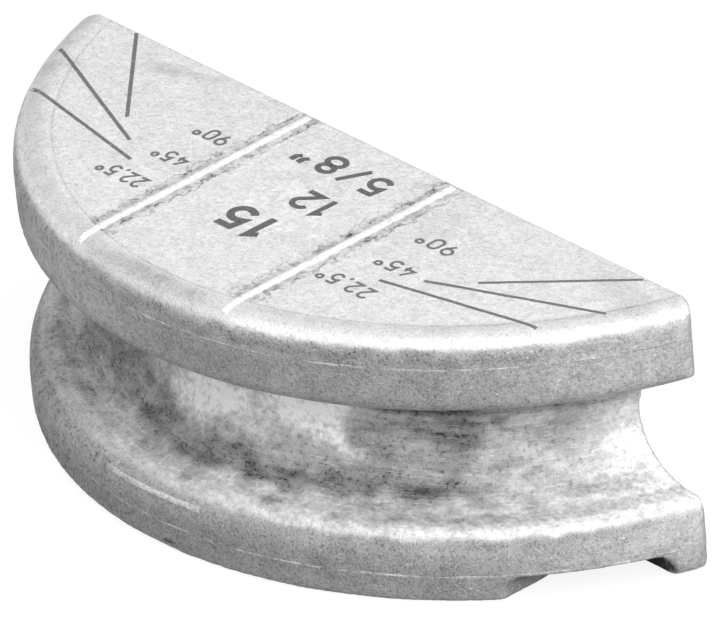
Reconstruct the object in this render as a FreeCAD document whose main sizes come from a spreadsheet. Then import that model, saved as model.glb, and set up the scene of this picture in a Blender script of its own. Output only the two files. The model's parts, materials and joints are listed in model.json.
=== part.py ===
"""Pipe bender former: one cast aluminium half-moon with a tube groove round its arc.

The arc's centre is the point that the tube is bent about. It lies behind the flat back
face, and the sketches are drawn from it. X runs along the back face, -Y points from the
back face to the crown of the arc, and +Z points up through the marked top face.
"""
import FreeCAD, Part
import math
import os
from types import SimpleNamespace

import Sketcher
from FreeCAD import Vector

# Driving sizes in millimetres and degrees. Each one can be set by itself.
SIZES = {
    # tube and bend
    "bend_radius": 55.0,          # arc centre to the middle of the tube groove
    "groove_radius": 7.95,        # section of the groove, for a 15 mm or 5/8 inch tube
    # rim and back
    "rim_overhang": 4.0,          # middle of the groove out to the rim
    "back_offset": 16.7,          # arc centre to the flat back face
    "corner_radius": 2.3,         # upright corners where the rim meets the back face
    "draft_angle": 1.5,           # lean of the rim walls away from the mould lines
    # upper flange
    "upper_flange": 11.75,        # top of the groove to the top face
    "upper_rim_depth": 9.8,       # top face down to the lower edge of the rim
    "upper_line_depth": 4.1,      # top face down to the mould line on the rim
    "top_rounding": 3.3,
    "under_chamfer": 0.6,         # broken edge of the rim over the groove
    # lower flange
    "lower_flange": 9.15,         # base to the bottom of the groove
    "lower_line_height": 3.7,     # base to the mould line on the rim
    "lip_radius": 4.2,            # rounded lip beside the groove
    "lip_reach": 0.4,             # middle of the groove out to the crease at the lip
    "base_chamfer": 0.5,          # broken edge round the base
    # mould lines, raised where the die halves met
    "line_width": 0.4,
    "line_height": 0.12,
    # two ribs on the top face
    "rib_offset": 13.2,           # middle of the part to the middle of a rib
    "rib_width": 1.6,
    "rib_height": 0.45,
    "rib_rounding": 0.4,
    "rib_back_inset": 0.4,        # back face to one end of a rib
    "rib_front_inset": 0.4,       # rounded edge of the rim to the other end
    # underside: a middle pad and two corner feet, with a recess on each side
    "pad_reach": 42.4,            # middle of the part to the side of the pad
    "foot_depth": 6.3,            # back face to the front of a foot
    "recess_depth": 3.2,
    "recess_corner": 3.2,
    "recess_rounding": 1.5,
    # blind socket in the back face for the end of the ram
    "socket_radius": 10.0,
    "socket_depth": 20.0,
    "socket_chamfer": 1.0,
    # how far a cut runs past the outside of the part
    "cut_margin": 12.0,
}

# Places and totals that follow from the driving sizes
DERIVED = {
    "rim_radius": "bend_radius + rim_overhang",
    "groove_height": "lower_flange + groove_radius",
    "total_height": "groove_height + groove_radius + upper_flange",
    "upper_edge_height": "total_height - upper_rim_depth",
    "upper_line_height": "total_height - upper_line_depth",
    "foot_front": "back_offset + foot_depth",
    "rib_near": "rib_offset - rib_width / 2",
    "rib_back": "back_offset + rib_back_inset",
    "rib_front": "rim_radius - top_rounding - rib_front_inset",
    "line_reach": "rim_radius + line_height",
    "line_root": "rim_radius - line_width",
    "cut_reach": "rim_radius + cut_margin",
}

doc = FreeCAD.newDocument("pipe_bender_former")

sheet = doc.addObject("Spreadsheet::Sheet", "Sizes")
cells = {alias: str(value) for alias, value in SIZES.items()}
cells.update({alias: f"={formula}" for alias, formula in DERIVED.items()})
for row, (alias, content) in enumerate(cells.items(), start=1):
    sheet.set(f"A{row}", alias)
    sheet.set(f"B{row}", content)
    sheet.setAlias(f"B{row}", alias)
doc.recompute()

# The sheet's values by name, to draw each sketch near its final shape
at = SimpleNamespace(**{alias: float(sheet.get(alias)) for alias in cells})

body = doc.addObject("PartDesign::Body", "former")
body.Label = "former"
doc.recompute()


# Helpers for sketches

ORIGIN = (-1, 1)                  # a sketch's own origin, as geometry number and point
UPRIGHT = -2                      # a sketch's own vertical axis
START, END, CENTRE = range(1, 4)


def new_sketch(name, role, lift=None):
    """A sketch on one of the body's origin planes, lifted along its normal by a size."""
    plane = next(p for p in body.Origin.OriginFeatures if p.Role == role)
    sketch = body.newObject("Sketcher::SketchObject", name)
    sketch.AttachmentSupport = [(plane, "")]
    sketch.MapMode = "FlatFace"
    if lift:
        sketch.setExpression("AttachmentOffset.Base.z", f"Sizes.{lift}")
    return sketch


def line(sketch, start, end):
    """A straight line between two points, and its number in the sketch."""
    return sketch.addGeometry(Part.LineSegment(Vector(*start, 0), Vector(*end, 0)), False)


def circle(sketch, centre, radius):
    """A full circle, and its number in the sketch."""
    return sketch.addGeometry(Part.Circle(Vector(*centre, 0), Vector(0, 0, 1), radius), False)


def arc(sketch, centre, radius, first, last):
    """An arc that runs anticlockwise between two angles in degrees, and its number."""
    whole = Part.Circle(Vector(*centre, 0), Vector(0, 0, 1), radius)
    span = Part.ArcOfCircle(whole, math.radians(first), math.radians(last))
    return sketch.addGeometry(span, False)


def rule(sketch, kind, *references):
    """A constraint that holds no size."""
    sketch.addConstraint(Sketcher.Constraint(kind, *references))


def join(sketch, *pairs):
    """Make each pair of end points one point."""
    for first, second in pairs:
        rule(sketch, "Coincident", *first, *second)


def size(sketch, kind, references, alias):
    """A constraint bound to one size on the sheet."""
    number = sketch.addConstraint(Sketcher.Constraint(kind, *references, getattr(at, alias)))
    sketch.setExpression(f"Constraints[{number}]", f"Sizes.{alias}")


def lean(sketch, wall, sign):
    """Turn a wall away from upright by the draft angle, outwards (-1) or inwards (+1)."""
    angle = math.radians(90 + sign * at.draft_angle)
    number = sketch.addConstraint(Sketcher.Constraint("Angle", wall, angle))
    word = "+" if sign > 0 else "-"
    sketch.setExpression(f"Constraints[{number}]", f"(90 {word} Sizes.draft_angle) * 1 deg")


# Helpers for features

def feature(kind, name, sketch, **settings):
    """A feature made from a sketch. A setting that names a size is bound to the sheet."""
    made = body.newObject(f"PartDesign::{kind}", name)
    made.Profile = sketch
    for key, setting in settings.items():
        if isinstance(setting, str) and setting in SIZES:
            made.setExpression(key, f"Sizes.{setting}")
        else:
            setattr(made, key, setting)
    body.Tip = made
    doc.recompute()
    return made


def soften(kind, name, base, edges, key, alias):
    """A fillet or chamfer on some edges of an earlier feature, with one size."""
    made = body.newObject(f"PartDesign::{kind}", name)
    made.Base = (base, edges)
    made.setExpression(key, f"Sizes.{alias}")
    body.Tip = made
    doc.recompute()
    return made


def edges_of(base, test):
    """The names of a feature's edges that pass a test."""
    return [f"Edge{i}" for i, edge in enumerate(base.Shape.Edges, start=1) if test(edge)]


def near(first, second):
    """Whether two lengths are the same, to a ten thousandth of a millimetre."""
    return abs(first - second) < 1e-4


def flat_at(edge, height):
    """Whether an edge lies in the horizontal plane at a height."""
    box = edge.BoundBox
    return near(box.ZMin, height) and near(box.ZMax, height)


# Half section, turned round the arc's centre

def draw_section():
    sketch = new_sketch("half_section", "XZ_Plane")
    slope = math.tan(math.radians(at.draft_angle))
    foot = (at.rim_radius - (at.lower_line_height - at.base_chamfer) * slope, at.base_chamfer)
    sole = (foot[0] - at.base_chamfer, 0)
    low_line = (at.rim_radius, at.lower_line_height)
    high_line = (at.rim_radius, at.upper_line_height)
    brow = (at.rim_radius - (at.upper_line_height - at.upper_edge_height) * slope,
            at.upper_edge_height)
    crown = (at.rim_radius - at.upper_line_depth * slope, at.total_height)
    groove = (at.bend_radius, at.groove_height)
    groove_top = (at.bend_radius, at.groove_height + at.groove_radius)
    crease_angle = math.degrees(math.asin(at.lip_reach / at.groove_radius))
    crease = (at.bend_radius + at.lip_reach,
              at.groove_height - at.groove_radius * math.cos(math.radians(crease_angle)))
    lip_x = at.rim_radius - at.lip_radius
    lip_z = crease[1] - math.sqrt(at.lip_radius ** 2 - (crease[0] - lip_x) ** 2)
    lip_angle = math.degrees(math.atan2(crease[1] - lip_z, crease[0] - lip_x))

    base = line(sketch, (0, 0), sole)
    bevel = line(sketch, sole, foot)
    wall_a = line(sketch, foot, low_line)
    wall_b = line(sketch, low_line, (at.rim_radius, lip_z))
    lip = arc(sketch, (lip_x, lip_z), at.lip_radius, 0, lip_angle)
    bowl = arc(sketch, groove, at.groove_radius, 90, 270 + crease_angle)
    under = line(sketch, groove_top, brow)
    wall_c = line(sketch, brow, high_line)
    wall_d = line(sketch, high_line, crown)
    top = line(sketch, crown, (0, at.total_height))
    axis = line(sketch, (0, at.total_height), (0, 0))

    join(sketch, (ORIGIN, (base, START)), ((base, END), (bevel, START)),
         ((bevel, END), (wall_a, START)), ((wall_a, END), (wall_b, START)),
         ((lip, END), (bowl, END)),
         ((bowl, START), (under, START)), ((under, END), (wall_c, START)),
         ((wall_c, END), (wall_d, START)), ((wall_d, END), (top, START)),
         ((top, END), (axis, START)), ((axis, END), (base, START)))
    rule(sketch, "Tangent", wall_b, END, lip, START)
    rule(sketch, "Horizontal", base)
    rule(sketch, "Horizontal", top)
    rule(sketch, "Vertical", axis)
    rule(sketch, "Vertical", bowl, CENTRE, under, START)

    size(sketch, "DistanceX", (bevel, START, bevel, END), "base_chamfer")
    size(sketch, "DistanceY", (bevel, START, bevel, END), "base_chamfer")
    size(sketch, "DistanceX", (*ORIGIN, wall_a, END), "rim_radius")
    size(sketch, "DistanceY", (*ORIGIN, wall_a, END), "lower_line_height")
    lean(sketch, wall_a, -1)
    lean(sketch, wall_b, +1)
    size(sketch, "Radius", (lip,), "lip_radius")
    size(sketch, "Radius", (bowl,), "groove_radius")
    size(sketch, "DistanceX", (*ORIGIN, bowl, CENTRE), "bend_radius")
    size(sketch, "DistanceY", (*ORIGIN, bowl, CENTRE), "groove_height")
    size(sketch, "DistanceX", (bowl, CENTRE, bowl, END), "lip_reach")
    size(sketch, "DistanceY", (*ORIGIN, wall_c, START), "upper_edge_height")
    size(sketch, "DistanceX", (*ORIGIN, wall_c, END), "rim_radius")
    size(sketch, "DistanceY", (*ORIGIN, wall_c, END), "upper_line_height")
    lean(sketch, wall_c, -1)
    lean(sketch, wall_d, +1)
    size(sketch, "DistanceY", (*ORIGIN, top, END), "total_height")
    return sketch


section = draw_section()
turned = feature("Revolution", "turned_form", section,
                 ReferenceAxis=(section, ["V_Axis"]), Angle=360.0)

# The top edge of the rim is broadly rounded, and the edge over the groove is only broken
top_edge = edges_of(turned, lambda edge: flat_at(edge, at.total_height))
rounded_top = soften("Fillet", "rounded_top", turned, top_edge, "Radius", "top_rounding")
under_edge = edges_of(rounded_top, lambda edge: flat_at(edge, at.upper_edge_height))
broken_under = soften("Chamfer", "broken_under", rounded_top, under_edge,
                      "Size", "under_chamfer")


# Mould lines: a fine raised ridge round each rim wall

def draw_mould_lines():
    sketch = new_sketch("mould_line_section", "XZ_Plane")
    half = at.line_width / 2
    for alias in ("lower_line_height", "upper_line_height"):
        height = getattr(at, alias)
        inside = line(sketch, (at.line_root, height + half), (at.line_root, height - half))
        below = line(sketch, (at.line_root, height - half), (at.line_reach, height))
        above = line(sketch, (at.line_reach, height), (at.line_root, height + half))
        join(sketch, ((inside, END), (below, START)), ((below, END), (above, START)),
             ((above, END), (inside, START)))
        rule(sketch, "Vertical", inside)
        rule(sketch, "Equal", below, above)
        size(sketch, "DistanceY", (inside, END, inside, START), "line_width")
        size(sketch, "DistanceX", (*ORIGIN, above, START), "line_reach")
        size(sketch, "DistanceY", (*ORIGIN, above, START), alias)
        size(sketch, "DistanceX", (*ORIGIN, inside, START), "line_root")
    return sketch


mould_lines = draw_mould_lines()
lined = feature("Revolution", "mould_lines", mould_lines,
                ReferenceAxis=(mould_lines, ["V_Axis"]), Angle=360.0)


# Back face: all behind it is cut away, and the upright corners are rounded

def draw_back():
    sketch = new_sketch("back_outline", "XY_Plane")
    back = -at.back_offset
    centre_y = back - at.corner_radius
    centre_x = math.sqrt((at.rim_radius - at.corner_radius) ** 2 - centre_y ** 2)
    slope = math.degrees(math.atan2(centre_y, centre_x))
    rim = (at.rim_radius * math.cos(math.radians(slope)),
           at.rim_radius * math.sin(math.radians(slope)))
    reach = at.cut_reach
    out_y = rim[1] * reach / rim[0]

    face = line(sketch, (-centre_x, back), (centre_x, back))
    right = arc(sketch, (centre_x, centre_y), at.corner_radius, slope, 90)
    left = arc(sketch, (-centre_x, centre_y), at.corner_radius, 90, 180 - slope)
    right_out = line(sketch, rim, (reach, out_y))
    left_out = line(sketch, (-rim[0], rim[1]), (-reach, out_y))
    right_side = line(sketch, (reach, out_y), (reach, reach))
    left_side = line(sketch, (-reach, out_y), (-reach, reach))
    behind = line(sketch, (reach, reach), (-reach, reach))

    join(sketch, ((right, START), (right_out, START)), ((left, END), (left_out, START)),
         ((right_out, END), (right_side, START)), ((left_out, END), (left_side, START)),
         ((right_side, END), (behind, START)), ((left_side, END), (behind, END)))
    rule(sketch, "Tangent", face, END, right, END)
    rule(sketch, "Tangent", face, START, left, START)
    rule(sketch, "Perpendicular", right_out, START, right, START)
    rule(sketch, "PointOnObject", *ORIGIN, right_out)
    rule(sketch, "Symmetric", face, START, face, END, UPRIGHT)
    rule(sketch, "Symmetric", left_out, START, right_out, START, UPRIGHT)
    rule(sketch, "Symmetric", left_out, END, right_out, END, UPRIGHT)
    rule(sketch, "Symmetric", behind, START, behind, END, UPRIGHT)
    rule(sketch, "Vertical", right_side)

    size(sketch, "DistanceY", (face, END, *ORIGIN), "back_offset")
    size(sketch, "Radius", (right,), "corner_radius")
    size(sketch, "Radius", (left,), "corner_radius")
    size(sketch, "Distance", (*ORIGIN, right_out, START), "rim_radius")
    size(sketch, "DistanceX", (*ORIGIN, behind, START), "cut_reach")
    size(sketch, "DistanceY", (*ORIGIN, behind, START), "cut_reach")
    return sketch


half_moon = feature("Pocket", "half_moon", draw_back(), Type="ThroughAll", Reversed=True)


# Ribs: two low bars on the top face, square to the back face, with rounded tops

def draw_ribs():
    sketch = new_sketch("rib_outlines", "XY_Plane", lift="total_height")
    half = at.rib_width / 2
    rear_y = -at.rib_back
    front_y = -math.sqrt(at.rib_front ** 2 - (at.rib_offset + half) ** 2)
    for side in (-1, 1):
        inner = side * (at.rib_offset - half)
        outer = side * (at.rib_offset + half)
        rear = line(sketch, (inner, rear_y), (outer, rear_y))
        away = line(sketch, (outer, rear_y), (outer, front_y))
        front = line(sketch, (outer, front_y), (inner, front_y))
        home = line(sketch, (inner, front_y), (inner, rear_y))
        for first, second in ((rear, away), (away, front), (front, home), (home, rear)):
            join(sketch, ((first, END), (second, START)))
        rule(sketch, "Horizontal", rear)
        rule(sketch, "Horizontal", front)
        rule(sketch, "Vertical", away)
        rule(sketch, "Vertical", home)
        near_edge = (*ORIGIN, rear, START) if side > 0 else (rear, START, *ORIGIN)
        across = (rear, START, rear, END) if side > 0 else (rear, END, rear, START)
        size(sketch, "DistanceX", near_edge, "rib_near")
        size(sketch, "DistanceX", across, "rib_width")
        size(sketch, "DistanceY", (rear, START, *ORIGIN), "rib_back")
        size(sketch, "Distance", (front, START, *ORIGIN), "rib_front")
    return sketch


def on_long_rib_edge(edge):
    """Whether an edge runs the length of a rib, at its top."""
    box = edge.BoundBox
    return flat_at(edge, at.total_height + at.rib_height) and box.YLength > 2 * at.rib_width


ribs = feature("Pad", "ribs", draw_ribs(), Length="rib_height")
rounded_ribs = soften("Fillet", "rounded_ribs", ribs, edges_of(ribs, on_long_rib_edge),
                      "Radius", "rib_rounding")


# Underside: a recess beside the pad on each side, open to the rim and short of the foot

def draw_recesses():
    sketch = new_sketch("recess_outlines", "XY_Plane")
    wall_x = at.pad_reach
    foot_y = -at.foot_front
    reach = at.cut_reach
    bend = at.recess_corner
    for side in (-1, 1):
        pad = line(sketch, (side * wall_x, -reach), (side * wall_x, foot_y - bend))
        centre = (side * (wall_x + bend), foot_y - bend)
        turn = arc(sketch, centre, bend, 90, 180) if side > 0 else arc(sketch, centre, bend, 0, 90)
        pad_end, foot_end = (END, START) if side > 0 else (START, END)
        foot = line(sketch, (side * (wall_x + bend), foot_y), (side * reach, foot_y))
        outer = line(sketch, (side * reach, foot_y), (side * reach, -reach))
        front = line(sketch, (side * reach, -reach), (side * wall_x, -reach))
        rule(sketch, "Tangent", pad, END, turn, pad_end)
        rule(sketch, "Tangent", turn, foot_end, foot, START)
        join(sketch, ((foot, END), (outer, START)), ((outer, END), (front, START)),
             ((front, END), (pad, START)))
        rule(sketch, "Vertical", pad)
        rule(sketch, "Vertical", outer)
        rule(sketch, "Horizontal", foot)
        rule(sketch, "Horizontal", front)
        outward = (*ORIGIN, outer, START) if side > 0 else (outer, START, *ORIGIN)
        size(sketch, "DistanceX", outward, "cut_reach")
        size(sketch, "DistanceY", (outer, END, *ORIGIN), "cut_reach")
        size(sketch, "DistanceY", (foot, START, *ORIGIN), "foot_front")
        size(sketch, "Radius", (turn,), "recess_corner")
        inward = (*ORIGIN, pad, START) if side > 0 else (pad, START, *ORIGIN)
        size(sketch, "DistanceX", inward, "pad_reach")
    return sketch


recessed = feature("Pocket", "recesses", draw_recesses(),
                   Type="Length", Length="recess_depth", Reversed=True)


def beside_recess(edge):
    """Whether an edge's middle lies on the side of the pad or on the front of a foot."""
    middle = edge.valueAt((edge.FirstParameter + edge.LastParameter) / 2)
    reach = math.hypot(middle.x, middle.y)
    return reach < at.rim_radius - 2 * at.base_chamfer and middle.y < -at.back_offset - 1


roots = edges_of(recessed, lambda edge: flat_at(edge, at.recess_depth) and beside_recess(edge))
rounded_roots = soften("Fillet", "rounded_roots", recessed, roots, "Radius", "recess_rounding")


pad_edges = edges_of(rounded_roots, lambda edge: flat_at(edge, 0) and beside_recess(edge))
broken_base = soften("Chamfer", "broken_base", rounded_roots, pad_edges,
                     "Size", "base_chamfer")


# Socket: a blind round hole in the back face, level with the middle of the groove

def draw_socket():
    sketch = new_sketch("socket_outline", "XZ_Plane", lift="back_offset")
    mouth = circle(sketch, (0, at.groove_height), at.socket_radius)
    rule(sketch, "PointOnObject", mouth, CENTRE, UPRIGHT)
    size(sketch, "Radius", (mouth,), "socket_radius")
    size(sketch, "DistanceY", (*ORIGIN, mouth, CENTRE), "groove_height")
    return sketch


socket = feature("Pocket", "socket", draw_socket(),
                 Type="Length", Length="socket_depth", Reversed=True)


def at_socket_mouth(edge):
    """Whether an edge is the socket's circle in the back face."""
    box = edge.BoundBox
    flat = near(box.YMin, -at.back_offset) and near(box.YMax, -at.back_offset)
    return flat and near(box.XLength, 2 * at.socket_radius)


mouth_edge = edges_of(socket, at_socket_mouth)
finished = soften("Chamfer", "socket_mouth", socket, mouth_edge, "Size", "socket_chamfer")


# Frame: the origin is on the base, below the middle of the part's box

body.setExpression("Placement.Base.y",
                   "(Sizes.line_reach + Sizes.back_offset) / 2")
doc.recompute()


# Every object has to be sound, and every cut has to have taken something away

def volume(made):
    return made.Shape.Volume


failed = [made.Name for made in doc.Objects if {"Invalid", "Error"} & set(made.State)]
if failed:
    raise RuntimeError(f"these did not compute: {failed}")
for cut, before in ((half_moon, lined), (recessed, rounded_ribs), (socket, broken_base)):
    if volume(cut) > volume(before) - 1:
        raise RuntimeError(f"{cut.Name} cut nothing")

if body.Shape.isNull() or not body.Shape.isValid() or len(body.Shape.Solids) != 1:
    raise RuntimeError(f"{body.Label} is not one sound solid")

os.makedirs("parts", exist_ok=True)
body.Shape.exportStep(f"parts/{body.Label}.step")
box = body.Shape.optimalBoundingBox()
print(f"{body.Label}: {body.Shape.Volume / 1000:.1f} cm3,",
      f"X {box.XMin:.2f} to {box.XMax:.2f},",
      f"Y {box.YMin:.2f} to {box.YMax:.2f},",
      f"Z {box.ZMin:.2f} to {box.ZMax:.2f}")
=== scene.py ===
# %% [markdown]
# # A pipe bender former
# This part is a half-moon of cast aluminium. A tube lies in the groove round its arc and takes
# the arc's curve when the bender's ram pushes the former against it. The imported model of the
# part is loaded first and fixes its sizes. What the model doesn't hold, such as printed marks
# and wear, is placed here where the casting shows it.

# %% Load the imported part
import json
import math

import bmesh
import bpy
import numpy as np
from mathutils import Matrix, Vector, noise
from mathutils.bvhtree import BVHTree


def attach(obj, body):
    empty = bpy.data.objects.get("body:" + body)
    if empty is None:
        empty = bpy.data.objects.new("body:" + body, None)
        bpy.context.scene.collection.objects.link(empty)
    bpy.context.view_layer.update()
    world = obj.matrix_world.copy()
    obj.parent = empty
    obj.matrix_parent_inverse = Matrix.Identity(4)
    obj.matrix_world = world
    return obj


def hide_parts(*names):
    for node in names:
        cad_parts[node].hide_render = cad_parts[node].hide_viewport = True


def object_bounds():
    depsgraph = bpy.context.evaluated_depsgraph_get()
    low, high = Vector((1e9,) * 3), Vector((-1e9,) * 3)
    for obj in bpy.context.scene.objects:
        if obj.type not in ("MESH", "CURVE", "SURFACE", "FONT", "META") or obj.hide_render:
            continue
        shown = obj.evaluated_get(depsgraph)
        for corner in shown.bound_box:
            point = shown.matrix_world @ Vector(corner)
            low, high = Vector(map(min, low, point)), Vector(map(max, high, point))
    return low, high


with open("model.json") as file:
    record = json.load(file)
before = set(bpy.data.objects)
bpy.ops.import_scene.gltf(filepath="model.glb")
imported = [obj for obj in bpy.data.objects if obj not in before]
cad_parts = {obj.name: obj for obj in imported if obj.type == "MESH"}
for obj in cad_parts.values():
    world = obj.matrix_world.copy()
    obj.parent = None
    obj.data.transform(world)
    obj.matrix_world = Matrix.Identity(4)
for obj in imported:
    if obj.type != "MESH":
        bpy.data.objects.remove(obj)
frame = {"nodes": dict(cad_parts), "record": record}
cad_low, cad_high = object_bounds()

MM = 0.001
size = (cad_high - cad_low) / MM
print(f"the part is {size.x:.2f} x {size.y:.2f} x {size.z:.2f} mm")

# %% [markdown]
# ## Where things are on the casting
# The rim, the groove and the lip all lie round one upright axis, behind the flat back. A few
# heights and radii are enough to say where each of them is. The radii are the model's own. The
# axis, the top and the back are counted from the model's box, and the groove's height is that
# of the socket that the record states.

# %% Places on the casting, in millimetres
LINE_REACH = 59.12  # from the arc's axis to the tip of a mould line
RIM = 59.0  # from the axis to the rims
BEND = 55.0  # from the axis to the middle of a bent tube
TOP_ROUNDING = 3.3  # radius of the top face's rounded edge
RIB_HEIGHT = 0.45
RIB_WIDTH = 1.12
RIB_OFFSET = 13.2  # from the middle plane to a rib
RIB_LEAN = 0.021  # sideways shift for each millimetre of length
RIB_SHIFT = -0.30  # both ribs lie a little to the left
RIB_REACH = RIM - 1.3  # from the axis to a rib's front end
LINE_HEIGHTS = (3.7, 32.7)  # of the two mould lines
CREASE_HEIGHT = 9.2  # where the groove turns over into the lip
TOP = size.z - RIB_HEIGHT
AXIS_Y = cad_low.y / MM + LINE_REACH
BACK_Y = cad_high.y / MM
GROOVE_Z = frame["record"]["mounts"][0]["pos_m"][2] / MM
RIB_FRONT = AXIS_Y - math.sqrt(RIB_REACH ** 2 - RIB_OFFSET ** 2)
print(f"axis at y {AXIS_Y:.2f}, top face at {TOP:.2f}, groove at {GROOVE_Z:.2f} mm")


def rib_middle(side, y):
    """Where the middle of a rib lies across the casting, at this y. The ribs lean a little."""
    return side * RIB_OFFSET + RIB_SHIFT - RIB_LEAN * (y - 0.5 * (RIB_FRONT + BACK_Y))


def top_surface(reach):
    """How high the top face or its rounded edge lies at this distance from the axis."""
    past = np.clip(np.asarray(reach, dtype=float) - (RIM - TOP_ROUNDING), 0, TOP_ROUNDING)
    return TOP - TOP_ROUNDING + np.sqrt(TOP_ROUNDING ** 2 - past ** 2)

# %% New meshes and objects


def mesh_from(bm, name):
    """A mesh with what was built, which is then let go."""
    mesh = bpy.data.meshes.new(name)
    bm.to_mesh(mesh)
    bm.free()
    return mesh


def put_in_scene(name, data):
    """A new object with this mesh, camera or lamp."""
    thing = bpy.data.objects.new(name, data)
    bpy.context.scene.collection.objects.link(thing)
    return thing

# %% [markdown]
# ## The casting, with points to move everywhere
# The model's surface is made of a few long, thin triangles, which can't take the uneven skin of
# a casting. A copy is therefore cut anew into even little squares of half a millimetre, and
# those are drawn back onto the true surface. The model itself stays as it is.

# %% Copy the casting and cut it anew
SKIN_SIZE = 0.49  # edge of a square, in millimetres


def casting_copy():
    """The casting's own surface, as an object that can be worked on."""
    bm = bmesh.new()
    bm.from_mesh(frame["nodes"]["former"].data)
    bmesh.ops.remove_doubles(bm, verts=bm.verts, dist=0.001 * MM)
    return put_in_scene("casting_draft", mesh_from(bm, "casting_draft"))


def cut_anew(draft):
    """The draft's surface in even squares, drawn back onto the model's own surface."""
    squares = draft.modifiers.new("squares", "REMESH")
    squares.mode = "VOXEL"
    squares.voxel_size = SKIN_SIZE * MM
    drawn = draft.modifiers.new("drawn", "SHRINKWRAP")
    drawn.target = frame["nodes"]["former"]
    drawn.wrap_method = "NEAREST_SURFACEPOINT"
    bpy.context.view_layer.update()
    seen = draft.evaluated_get(bpy.context.evaluated_depsgraph_get())
    mesh = bpy.data.meshes.new_from_object(seen)
    mesh.name = "casting"
    bpy.data.objects.remove(draft)
    return mesh


skin = cut_anew(casting_copy())
print("points in the skin:", len(skin.vertices), "squares:", len(skin.polygons))

# %% [markdown]
# ## Many points at once
# The skin has tens of thousands of points, and moving them one by one would be slow. Their
# places are taken out as one array, changed together and put back. A place is also wanted as
# the arc sees it: how far along the arc, how far from its axis, and how high.

# %% Points as arrays


def read_out(items, key, width, kind=float):
    """One row of numbers for each point or edge."""
    flat = np.empty(len(items) * width, dtype=kind)
    items.foreach_get(key, flat)
    return flat.reshape(-1, width)


def points_of(mesh):
    """The places of a mesh's points, in millimetres."""
    return read_out(mesh.vertices, "co", 3) / MM


def normals_of(mesh):
    """The normals at a mesh's points."""
    return read_out(mesh.vertex_normals, "vector", 3)


def edges_of(mesh):
    """The two ends of each edge."""
    return read_out(mesh.edges, "vertices", 2, np.int32)


def place_points(mesh, places):
    """Move a mesh's points to these places, in millimetres."""
    mesh.vertices.foreach_set("co", (places * MM).ravel())
    mesh.update()


def neighbour_mean(values, ends):
    """The mean of each point's neighbours."""
    count = np.bincount(ends.ravel(), minlength=len(values))
    total = np.zeros_like(values)
    for a, b in ((0, 1), (1, 0)):
        for column in range(values.shape[1]):
            total[:, column] += np.bincount(ends[:, a], values[ends[:, b], column], len(values))
    return total / count[:, None]


def smooth_step(values, start, end):
    """0 before start, 1 after end, and a soft slope between them."""
    t = np.clip((values - start) / (end - start), 0, 1)
    return t * t * (3 - 2 * t)


def wobble(*place):
    """A smooth wave at one place, between about -1 and 1."""
    return noise.noise(Vector(place))


def waves(places, length, seed):
    """A smooth wave of this length at each place, between about -1 and 1."""
    shift = Vector((seed, 2.3 * seed, -1.7 * seed))
    return np.array([noise.noise(Vector(p) / length + shift) for p in places])

# %% Places round the arc


def arc_places(spots):
    """Distance along the arc from the crown, distance from the axis, and height, in mm."""
    x, y = spots[:, 0], spots[:, 1] - AXIS_Y
    along = BEND * (np.arctan2(y, x) + math.pi / 2)
    return np.column_stack([along, np.hypot(x, y), spots[:, 2]])


ends = edges_of(skin)
places = points_of(skin)
s, reach, height = arc_places(places).T
print(f"the skin reaches {s.min():.1f} to {s.max():.1f} mm along the arc")

# %% [markdown]
# ## Lay the narrow ribs flat
# A rib is about one millimetre wide, and squares of half a millimetre can't show it well. The
# ribs in the skin are therefore laid flat, onto the top face or its rounded edge. Finer pieces
# take their place further down.

# %% Lay the ribs flat
from_rib = np.abs(np.abs(places[:, 0]) - RIB_OFFSET)
on_rib = (from_rib < 1.4) & (reach < RIM - 0.5) & (height > top_surface(reach) + 0.01)
places[on_rib, 2] = top_surface(reach[on_rib])
print("points of the narrow ribs laid flat:", on_rib.sum())

# %% [markdown]
# ## The ends of the pad and the feet
# On the casting these ends lie a little further along the arc than in the model. The low points
# near them are turned about the arc's axis, by an amount that fades out on all sides, so nothing
# creases and the back stays flat.

# %% Move the ends of the pad and the feet along the arc
PAD_SHIFT = 1.1
FOOT_SHIFT = 0.6
TURNED_FROM = 30.0  # points nearer the axis stay where they are

low_down = 1 - smooth_step(places[:, 2], 3.4, 4.8)
pad_edge = smooth_step(np.abs(s), 38.0, 44.0) * (1 - smooth_step(np.abs(s), 48.0, 54.0))
foot_edge = smooth_step(np.abs(s), 56.0, 59.0) * (1 - smooth_step(np.abs(s), 63.0, 68.0))
shift = np.sign(s) * low_down * (PAD_SHIFT * pad_edge + FOOT_SHIFT * foot_edge) / RIM
outside = reach > TURNED_FROM
before_back = 1 - smooth_step(places[:, 1], BACK_Y - 4.0, BACK_Y - 1.0)
shift *= outside * before_back
x, y = places[:, 0].copy(), places[:, 1] - AXIS_Y
places[:, 0] = x * np.cos(shift) - y * np.sin(shift)
places[:, 1] = x * np.sin(shift) + y * np.cos(shift) + AXIS_Y
print(f"the pad's edges moved by {np.abs(shift).max() * RIM:.2f} mm")

# %% [markdown]
# ## Rounded corners
# Sand casting leaves no sharp corner, and use wears the corners further. A bevel would need
# clean edge loops, which a skin of even squares doesn't have. Each point is drawn a little
# towards the middle of its neighbours instead, which rounds the corners and leaves the flats
# where they are. The feet get more passes, because they are worn rounder.

# %% Draw each point towards its neighbours
ROUNDING_PASSES = 3
FOOT_PASSES = 6

sharp = places.copy()
for _ in range(ROUNDING_PASSES):
    places += 0.5 * (neighbour_mean(places, ends) - places)
soft_feet = smooth_step(np.abs(s), 58, 64) * (1 - smooth_step(places[:, 2], 2.2, 3.4))
for _ in range(FOOT_PASSES):
    places += 0.5 * soft_feet[:, None] * (neighbour_mean(places, ends) - places)
print(f"the corners moved by up to {np.linalg.norm(places - sharp, axis=1).max():.2f} mm")
place_points(skin, places)

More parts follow.
